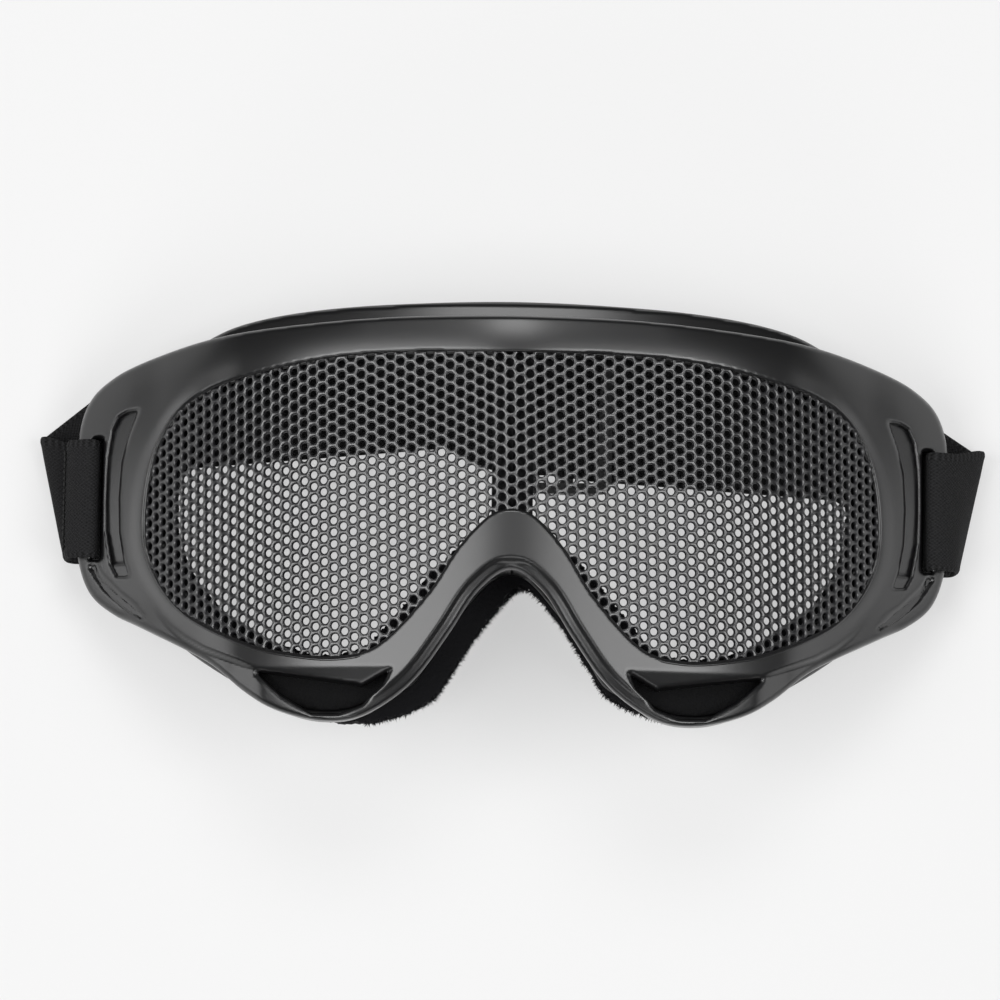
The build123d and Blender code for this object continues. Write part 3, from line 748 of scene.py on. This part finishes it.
def foamLow(x, y, d):
    face = faceHeight(x)
    free = np.clip((flangeHeight(x) - face) * 0.5, 0.5, foam["edgeRadius"])
    low = face + roundEdge(d * foam["edgeRadius"] / free, foam["edgeRadius"]) * free / foam["edgeRadius"]
    return np.maximum(low, channelHeight(x, y))


def noseGrowth(x, y):
    # the foam is fuller on the left side of the nose
    return foam["noseGrow"] * noseShare(x, y) * smoothStep(-x, -4, 4)


def foamInside(x, y):
    shift = foam["noseShift"] * noseShare(x, y)
    outer = outlineDistance("rear", x - shift, y) - foam["inset"] + noseGrowth(x, y)
    return np.minimum(outer, -outlineDistance("opening", x, y))


foamFaces = upright(lambda x, y, d: flangeHeight(x) - 0.1, foamLow)
faceFoam = shapedShell("face_foam_ring", foamInside, *foamFaces, foam["step"], (-87.5, 87.5), (-46.2, 46.2))
# the surface is roughened, less in height, and stays on the table
rng = np.random.default_rng(5)
coordinates = np.zeros(len(faceFoam.data.vertices) * 3)
faceFoam.data.vertices.foreach_get("co", coordinates)
coordinates = coordinates.reshape(-1, 3)
shake = rng.uniform(-1, 1, coordinates.shape) * foam["fuzz"] * mm
shake[:, 2] *= foam["fuzzRise"]
coordinates = coordinates + shake
coordinates[:, 2] = np.maximum(coordinates[:, 2], 0)
faceFoam.data.vertices.foreach_set("co", coordinates.ravel())
faceFoam.data.update()

# Open-cell foam with a brushed face, matt black
foamBlack, shader = newMaterial("matt_black_foam", foam["colour"], foam["roughness"], specular=0.2)
grainBump(foamBlack, shader, pitch=0.8, height=0.3, detail=4.0)

# Short fibres that stand off the foam's outer side beside the nose
rearLoop = closedOutline(smoothLine(outlines["rear"], 40))
rearNormal = outwardNormals(rearLoop)
besideNose = (np.abs(rearLoop[:, 0]) < foam["fibreReach"]) & (rearLoop[:, 1] < foam["fibreTop"])
pick = rng.choice(np.nonzero(besideNose)[0], foam["fibres"])
pickX, pickY = rearLoop[pick].T
grown = noseGrowth(pickX, pickY) - foam["inset"] - foam["rootDepth"]
root = rearLoop[pick] + rearNormal[pick] * grown[:, None]
root[:, 0] += foam["noseShift"] * noseShare(pickX, pickY)
lowest = faceHeight(root[:, 0]) + foam["fibreFoot"]
highest = flangeHeight(root[:, 0]) - foam["fibreHeadroom"]
root = np.column_stack([root, lowest + (highest - lowest) * rng.uniform(0, 1, len(pick))])
spread = rng.normal(0, foam["fibreSpread"], root.shape)
out = np.column_stack([rearNormal[pick], np.zeros(len(pick))]) + spread
out = out / np.linalg.norm(out, axis=1)[:, None]
broad = np.cross(out, rng.normal(0, 1, root.shape))
broad = broad / np.linalg.norm(broad, axis=1)[:, None] * foam["fibreWidth"]
tip = root + out * (foam["fibreLength"] * rng.uniform(0.2, 1.0, len(pick)))[:, None]
points = np.stack([root - broad, root + broad, tip], 1).reshape(-1, 3)
fibres = makeMesh("foam_fibres", points, np.arange(len(points)).reshape(-1, 3).tolist())

# Thin filter foam behind the brow vents and under the cheek vents
filterFoam = {
    "browReach": 59.7,
    "browRun": 70.0,  # each way along the wall, past that reach
    "browFoot": 2.6,  # above the underside of the flange
    "browHeadroom": 3.9,  # under the line of the lens
    "thickness": 2.4,
    "gap": 0.2,
    "cheekDepth": 3.7,  # under the line of the lens
    "cheekThickness": 3.0,
    "cheekInset": 1.4,
    "cheekEdge": 0.5,
    "browStep": 1.0,
    "cheekStep": 0.6,
    "colour": "#060607",
    "roughness": 0.9,
}


def browInside(a, b):
    x, y, nx, ny = wallPlace(a)
    tall = lensHeight(x) - filterFoam["browHeadroom"] - flangeHeight(x) - filterFoam["browFoot"]
    region = np.minimum(np.minimum(b, tall - b), filterFoam["browReach"] - np.abs(x))
    return region * np.where(y > 0, 1, -1)


def browFace(offset):
    def place(a, b, d):
        x, y, nx, ny = wallPlace(a)
        return x - nx * offset, y - ny * offset, flangeHeight(x) + filterFoam["browFoot"] + b

    return place


browOffset = wall["thickness"] + filterFoam["gap"]
browFaces = browFace(browOffset), browFace(browOffset + filterFoam["thickness"])
browSpan = (wallShift - filterFoam["browRun"], wallShift + filterFoam["browRun"])
browFoam = shapedShell("brow_filter", browInside, *browFaces, filterFoam["browStep"], browSpan, (0, 23))
padOutline = [(23.2, -32.9), (55.6, -32.9), (54.0, -40.0), (47, -45.0), (38, -46.0), (31, -45.5), (24, -41.0)]


def padInside(x, y):
    inBody = outlineDistance("body", x, y) - filterFoam["cheekInset"]
    return np.minimum(polygonDistance(x, y, padOutline), inBody)


def padTop(x, y, edge):
    return lensHeight(x) - filterFoam["cheekDepth"] - roundEdge(edge, filterFoam["cheekEdge"])


def padLow(x, y, edge):
    return lensHeight(x) - filterFoam["cheekDepth"] - filterFoam["cheekThickness"]


cheekPads = []
padFaces = upright(padTop, padLow)
for side, span in (("left", (-57, -22)), ("right", (22, 57))):
    name = "cheek_filter_" + side
    pad = shapedShell(name, padInside, *padFaces, filterFoam["cheekStep"], span, (-46.8, -31.2))
    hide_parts("cheek_vent_foam_" + side)
    cheekPads.append(pad)
filterBlack, shader = newMaterial(
    "filter_foam_black", filterFoam["colour"], filterFoam["roughness"], specular=0.2
)
grainBump(filterBlack, shader, pitch=0.9, height=0.5, detail=4.0)

fibres.data.materials.append(foamBlack)
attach(fibres, "goggle")
for piece in [faceFoam, browFoam] + cheekPads:
    piece.data.materials.append(foamBlack if piece is faceFoam else filterBlack)
    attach(piece, "goggle")
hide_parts("face_foam")
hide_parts("brow_vent_foam")

print("stage: strap")
halfWidth = strap["width"] / 2
halfLayer = strap["thickness"] / 2
# edges of the strap bar, then heights of the fold under it, the top of the loop and its outer side
barInner, barOuter = 92.5, 96.3
foldHeight, loopTop, loopSide = 7.4, 19.0, 15.6
loopFoot, lift = 14, 0.05  # run of each loop along the table, and its play above what it lies on


def ribbon(name, upper, lower, thickness):
    # webbing between two edge lines: each station is a flat oval, thinner at both selvedges
    upper, lower = np.asarray(upper, float), np.asarray(lower, float)
    shares = np.array([0, 0.012, 0.035, 0.07, 0.2, 0.35, 0.5, 0.65, 0.8, 0.93, 0.965, 0.988, 1.0])
    thick = np.array([0.35, 0.75, 1, 0.92, 1, 1, 1, 1, 1, 0.92, 1, 0.75, 0.35]) * thickness / 2
    middle = (upper + lower) / 2
    ahead = np.gradient(middle, axis=0)
    across = upper - lower
    normal = np.cross(ahead, across)
    normal = normal / np.maximum(np.linalg.norm(normal, axis=1), 1e-9)[:, None]
    run = np.concatenate([[0], np.cumsum(np.linalg.norm(np.diff(middle, axis=0), axis=1))])
    width = np.linalg.norm(across, axis=1).mean()
    points, uv = [], []
    for side in (1, -1):
        order = range(len(shares)) if side == 1 else range(len(shares) - 1, -1, -1)
        for k in order:
            points.append(lower + across * shares[k] + normal * thick[k] * side)
            uv.append(np.stack([run, np.full(len(run), shares[k] * width)], 1))
    ringSize, count = len(points), len(upper)
    points, uv = np.stack(points, 1).reshape(-1, 3), np.stack(uv, 1).reshape(-1, 2)
    faces = []
    for i in range(count - 1):
        for k in range(ringSize):
            n = (k + 1) % ringSize
            faces.append((i * ringSize + k, (i + 1) * ringSize + k, (i + 1) * ringSize + n, i * ringSize + n))
    faces.append(tuple(range(ringSize)))
    faces.append(tuple((count - 1) * ringSize + k for k in range(ringSize - 1, -1, -1)))
    return makeMesh(name, points, faces, uv)


def smoothPath(points, step):
    # corners cut three times over, then points an even step apart
    p = np.array(points, float)
    for attempt in range(3):
        q = [p[0]]
        for a, b in zip(p, p[1:]):
            q += [a * 0.75 + b * 0.25, a * 0.25 + b * 0.75]
        p = np.array(q + [p[-1]])
    run = np.concatenate([[0], np.cumsum(np.linalg.norm(np.diff(p, axis=0), axis=1))])
    even = np.linspace(0, run[-1], max(int(run[-1] / step), 2) + 1)
    return np.stack([np.interp(even, run, p[:, k]) for k in range(p.shape[1])], 1)


def flatRun(name, fromX, toX, heights):
    # webbing along the route between two places, its height read from a line of (x, z)
    across = np.linspace(max(fromX, route[0, 0]), min(toX, route[-1, 0]), int(toX - fromX) + 1)
    centre = np.column_stack([across, np.interp(across, route[:, 0], route[:, 1])])
    side = np.column_stack([np.interp(across, route[:, 0], routeSide[:, k]) for k in (0, 1)])
    z = np.interp(centre[:, 0], [h[0] for h in heights], [h[1] for h in heights])
    upper = np.column_stack([centre + side * halfWidth, z])
    lower = np.column_stack([centre - side * halfWidth, z])
    return ribbon(name, upper, lower, strap["thickness"])


def loopRibbon(name, side, line):
    # the same side view at both edges, the lower one further in
    upperReach, lowerReach = strap["foldReach"], strap["foldReach"] - strap["foldSetback"]
    edges = []
    for y, reach in ((strap["centreY"] + halfWidth, upperReach), (strap["centreY"] - halfWidth, lowerReach)):
        edges.append((y, smoothPath(line(reach), 0.5)))
    count = max(len(edges[0][1]), len(edges[1][1]))
    placed = []
    for y, flat in edges:
        t = np.linspace(0, 1, len(flat))
        even = np.linspace(0, 1, count)
        x, z = np.interp(even, t, flat[:, 0]), np.interp(even, t, flat[:, 1])
        lean = strap["foldLean"] * smoothStep(x, barOuter, strap["foldReach"])
        placed.append(np.stack([side * x, y + lean, z], 1))
    return ribbon(name, placed[0], placed[1], strap["thickness"])


# The loops in side view, as (x outward, z) of the middle of the webbing
def leftLine(reach):
    # from the table out to the fold, back to the bar, over it and down to the sewn end
    outer = reach - halfLayer
    return [
        (reach - loopFoot, halfLayer + lift), (outer - 1, halfLayer + lift), (outer, halfLayer + 1.2),
        (outer, foldHeight - 1.6), (outer - 1.4, foldHeight), (barInner, foldHeight + 0.4),
        (barInner - 1.2, foldHeight + 2.4), (barInner - 1.2, loopTop - 2.2), (barInner + 0.1, loopTop - 0.1),
        (barOuter + 1.0, loopSide), (barOuter + 1.4, foldHeight + 5.5), (barOuter + 1.7, foldHeight + 2.2),
    ]


def rightOuterLine(reach):
    # from the table up the outside, over the bar and down behind it
    outer = reach - strap["bulge"] - halfLayer
    return [
        (reach - loopFoot, halfLayer + lift), (outer - 1, halfLayer + lift), (outer, halfLayer + 1.2),
        (outer + strap["bulge"], foldHeight), (barOuter + 1.0, loopSide), (barInner + 0.1, loopTop - 0.1),
        (barInner - 1.2, loopTop - 2.2), (barInner - 1.2, foldHeight + 2.4), (barInner, foldHeight + 0.4),
    ]


def rightInnerLine(reach):
    # from under the bar out to the fold and back along the table, inside the outer layer
    outer = reach - halfLayer - layerStep
    return [
        (barInner, foldHeight), (outer - 1.4, foldHeight), (outer, foldHeight - 1.6),
        (outer, halfLayer + layerStep + 1.4), (outer - 1, halfLayer + layerStep + lift),
        (reach - loopFoot, halfLayer + layerStep + lift),
    ]


# Heights of the middle of the webbing: on the table, on one layer of webbing, and over the slider's bar
tableLayer, upperLayer, humpTop = 0.7, 2.4, 6.0
mainHeights = [
    (-62, tableLayer), (3.4, tableLayer), (7.3, humpTop),
    (16.7, humpTop), (20.6, upperLayer), (62, upperLayer),
]
endHeights = [(12, 4.2), (14.6, 4.1), (16.4, tableLayer), (62, tableLayer)]
leftHeights = [(-96, tableLayer), (-61, tableLayer)]
rightHeights, rightUpperHeights = [(61, tableLayer), (96, tableLayer)], [(61, upperLayer), (96, upperLayer)]
# each piece of webbing, the solid that it replaces, and the side on which it blends
webs = [
    (flatRun("strap_main", -62, 62, mainHeights), "strap_band", None),
    (flatRun("strap_end", 12, 62, endHeights), "strap_return", None),
    (flatRun("strap_left_flat", -98, -62, leftHeights), "strap_side_left", -1),
    (loopRibbon("strap_left_loop", -1, leftLine), None, -1),
    (flatRun("strap_right_flat", 62, 96, rightHeights), "strap_side_right", 1),
    (flatRun("strap_right_flat_upper", 62, 96, rightUpperHeights), None, 1),
    (loopRibbon("strap_right_outer", 1, rightOuterLine), None, 1),
    (loopRibbon("strap_right_inner", 1, rightInnerLine), None, 1),
]

# Woven elastic: fine ribs across, rows of loops along both selvedges, matt black
weave = {
    "ribPitch": 0.9,
    "warpPitch": 0.8,
    "loopPitch": 1.3,
    "selvedge": 1.0,
    "fuzzPitch": 0.5,
    "ribShare": 0.35,
    "loopShare": 0.5,
    "fuzzShare": 1.2,
    "height": 0.3,
    # how strongly the weave's height darkens the colour, as painted shade in its hollows
    "hollowShadeShare": 0.8,
    "hollowShadeBase": 0.2,
}
webbing, shader = newMaterial("woven_elastic", strap["colour"], strap["roughness"], specular=0.25)
place = addNode(webbing, "ShaderNodeUVMap", uv_map="webbing")
parts = addNode(webbing, "ShaderNodeSeparateXYZ", [(place.outputs["UV"], "Vector")])


def mathNode(operation, *values):
    node = addNode(webbing, "ShaderNodeMath", operation=operation)
    for k, value in enumerate(values):
        if isinstance(value, (int, float)):
            node.inputs[k].default_value = value
        else:
            webbing.node_tree.links.new(value, node.inputs[k])
    return node.outputs["Value"]


def wave(axis, pitch):
    return mathNode("SINE", mathNode("MULTIPLY", parts.outputs[axis], 2 * math.pi / (pitch * mm)))


ribs = mathNode("MULTIPLY", wave("X", weave["ribPitch"]), wave("Y", weave["warpPitch"]))
fromMiddle = mathNode("ABSOLUTE", mathNode("SUBTRACT", parts.outputs["Y"], halfWidth * mm))
atEdge = mathNode("LESS_THAN", mathNode("SUBTRACT", halfWidth * mm, fromMiddle), weave["selvedge"] * mm)
edgeLoops = mathNode("MULTIPLY", atEdge, wave("X", weave["loopPitch"]))
height = mathNode(
    "ADD", mathNode("MULTIPLY", ribs, weave["ribShare"]), mathNode("MULTIPLY", edgeLoops, weave["loopShare"])
)
spot = [(place.outputs["UV"], "Vector")]
noise = addNode(webbing, "ShaderNodeTexNoise", spot, Scale=1 / (weave["fuzzPitch"] * mm), Detail=3.0)
height = mathNode("ADD", height, mathNode("MULTIPLY", noise.outputs["Fac"], weave["fuzzShare"]))
bump = addNode(webbing, "ShaderNodeBump", [(height, "Height")], Strength=1.0, Distance=weave["height"] * mm)
# painted shade: the colour is darkened in the hollows of the ribs and selvedge loops, and the fuzz noise also
# varies it at random
hollowShadeAndFuzzTone = mathNode("ADD", mathNode("MULTIPLY", height, weave["hollowShadeShare"]), weave["hollowShadeBase"])
shade = addNode(webbing, "ShaderNodeHueSaturation", [(hollowShadeAndFuzzTone, "Value")], Color=linear(strap["colour"]))
webbing.node_tree.links.new(shade.outputs["Color"], shader.inputs["Base Color"])
webbing.node_tree.links.new(bump.outputs["Normal"], shader.inputs["Normal"])

for piece, node, side in webs:
    piece.data.materials.append(webbing)
    if node:
        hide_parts(node)
    if side is None:
        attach(piece, "strap")
    else:
        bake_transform(piece)

# Bar tack: three rows of stitches across the sewn end, each a six-sided thread that is thinner at its ends
tack = {
    "rows": 3,
    "rowStep": 1.2,
    "firstRow": 4.4,  # above the fold
    "offBar": 2.3,
    "stitches": 16,
    "radius": 0.28,
    "width": 22.0,
    "colour": "#151515",
    "roughness": 0.7,
}
threadSides = 6
threadRings = [(0.08, 0.45), (0.5, 1.0), (0.92, 0.45)]  # share of the stitch's length, share of its radius
points, faces = [], []
for row in range(tack["rows"]):
    z = foldHeight + tack["firstRow"] + tack["rowStep"] * row
    for stitch in range(tack["stitches"]):
        y0 = strap["centreY"] - tack["width"] / 2 + tack["width"] * stitch / tack["stitches"]
        base = len(points)
        for along, thick in threadRings:
            y = y0 + tack["width"] / tack["stitches"] * along
            radius = tack["radius"] * thick
            for k in range(threadSides):
                angle = k * 2 * math.pi / threadSides
                x = -(barOuter + tack["offBar"]) - radius * math.cos(angle)
                points.append((x, y, z + radius * math.sin(angle)))
        for ring in range(len(threadRings) - 1):
            near = base + ring * threadSides
            far = near + threadSides
            for k in range(threadSides):
                n = (k + 1) % threadSides
                faces.append((near + k, near + n, far + n, far + k))
        faces.append(tuple(base + k for k in range(threadSides - 1, -1, -1)))
        faces.append(tuple(len(points) - threadSides + k for k in range(threadSides)))
stitches = makeMesh("strap_stitching", points, faces)
thread, shader = newMaterial("black_sewing_thread", tack["colour"], tack["roughness"], specular=0.3)
grainBump(thread, shader, pitch=0.3, height=0.05)
stitches.data.materials.append(thread)
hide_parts("bar_tack_left")
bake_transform(stitches)

print("stage: slider")
# Moulded acetal slider, satin black, carried from the solids with its edges softened
slider = {"colour": "#1a1a1b", "roughness": 0.4, "edge": 0.3}
acetal, shader = newMaterial("satin_acetal", slider["colour"], slider["roughness"], specular=0.5)
grainBump(acetal, shader, pitch=0.6, height=0.005)
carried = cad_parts["slider"]
carried.data.materials.clear()
carried.data.materials.append(acetal)
soften = carried.modifiers.new("soft_edges", "BEVEL")
soften.width = slider["edge"] * mm
soften.segments = 2
soften.limit_method = "ANGLE"

print("stage: floor, light and camera")
studio = {
    "floorReach": 3.0,  # metres
    "floorColour": "#979797",
    "floorGlow": 0.5,
    "worldColour": "#f4f4f4",
    "worldLevel": 0.1,
    "lampTarget": (0, 0, 0.04),
}
# Soft boxes: place and size in metres, power in watts
lamps = {
    "key_lamp": ((0, 0.65, 1.12), (0.7, 0.4), 5.0),
    "top_lamp": ((0, 0, 1.5), (0.8, 0.5), 1.3),
    "left_lamp": ((-0.6, -0.12, 1.1), (0.8, 0.6), 9.5),
    "right_lamp": ((0.6, -0.15, 1.1), (0.75, 0.55), 8.0),
    "left_side_lamp": ((-1.3, 0.02, 0.28), (0.35, 0.5), 1.6),
    "right_side_lamp": ((1.3, 0.02, 0.28), (0.35, 0.5), 1.0),
    "front_lamp": ((-0.2, -1.1, 0.75), (0.8, 0.4), 2.5),
}
floorMesh = bpy.data.meshes.new("floor")
reach = studio["floorReach"]
floorCorners = [(-reach, -reach, 0), (reach, -reach, 0), (reach, reach, 0), (-reach, reach, 0)]
floorMesh.from_pydata(floorCorners, [], [(0, 1, 2, 3)])
floor = bpy.data.objects.new("floor", floorMesh)
bpy.context.scene.collection.objects.link(floor)
# Backlit acrylic table top, matt
acrylic, shader = newMaterial("backlit_table", studio["floorColour"], 0.9, specular=0.1)
# The table's glow shows to the camera, in reflections and through the mesh, and lights nothing
path = addNode(acrylic, "ShaderNodeLightPath")
glow = path.outputs["Is Camera Ray"]
for ray in ("Is Glossy Ray", "Is Transmission Ray"):
    either = addNode(acrylic, "ShaderNodeMath", [(glow, 0), (path.outputs[ray], 1)], operation="MAXIMUM")
    glow = either.outputs[0]
strength = addNode(acrylic, "ShaderNodeMath", [(glow, 0)], operation="MULTIPLY")
strength.inputs[1].default_value = studio["floorGlow"]
shader.inputs["Emission Color"].default_value = (1, 1, 1, 1)
acrylic.node_tree.links.new(strength.outputs[0], shader.inputs["Emission Strength"])
grainBump(acrylic, shader, pitch=1.5, height=0.02)
floor.data.materials.append(acrylic)

for name, (place, size, power) in lamps.items():
    lamp = bpy.data.lights.new(name, "AREA")
    lamp.shape = "RECTANGLE"
    lamp.size, lamp.size_y = size
    lamp.energy = power
    made = bpy.data.objects.new(name, lamp)
    made.location = place
    aim = Vector(studio["lampTarget"]) - Vector(place)
    made.rotation_euler = aim.to_track_quat("-Z", "Y").to_euler()
    bpy.context.scene.collection.objects.link(made)

world = bpy.data.worlds.new("studio")
bpy.context.scene.world = world
world.use_nodes = True
background = world.node_tree.nodes["Background"]
background.inputs["Color"].default_value = linear(studio["worldColour"])
background.inputs["Strength"].default_value = studio["worldLevel"]

# The camera looks down on the lens, a little from the side of the nose; angles are in degrees
view = {
    "distance": 1200.0,
    "elevation": 84.3,
    "roll": 0.9,
    "focal": 203.9,
    "sensor": 36.0,
    "target": (0.0, -2.35, 60.0),
    "shift": (-0.012, 0.013),
}
elevation, roll = math.radians(view["elevation"]), math.radians(view["roll"])
back = Vector((0, -math.cos(elevation), math.sin(elevation)))
right = Vector((1, 0, 0))
up = Vector((0, math.sin(elevation), math.cos(elevation)))
rightTurned = right * math.cos(roll) + up * math.sin(roll)
upTurned = up * math.cos(roll) - right * math.sin(roll)
camera = bpy.data.cameras.new("camera")
camera.lens = view["focal"]
camera.sensor_width = view["sensor"]
camera.shift_x, camera.shift_y = view["shift"]
camera.dof.use_dof = False
cameraObject = bpy.data.objects.new("camera", camera)
bpy.context.scene.collection.objects.link(cameraObject)
turned = Matrix((rightTurned, upTurned, back)).transposed().to_4x4()
turned.translation = (Vector(view["target"]) + back * view["distance"]) * mm
cameraObject.matrix_world = turned
camera.clip_start, camera.clip_end = 0.05, 20
bpy.context.scene.camera = cameraObject
bpy.context.scene.view_settings.view_transform = "Standard"
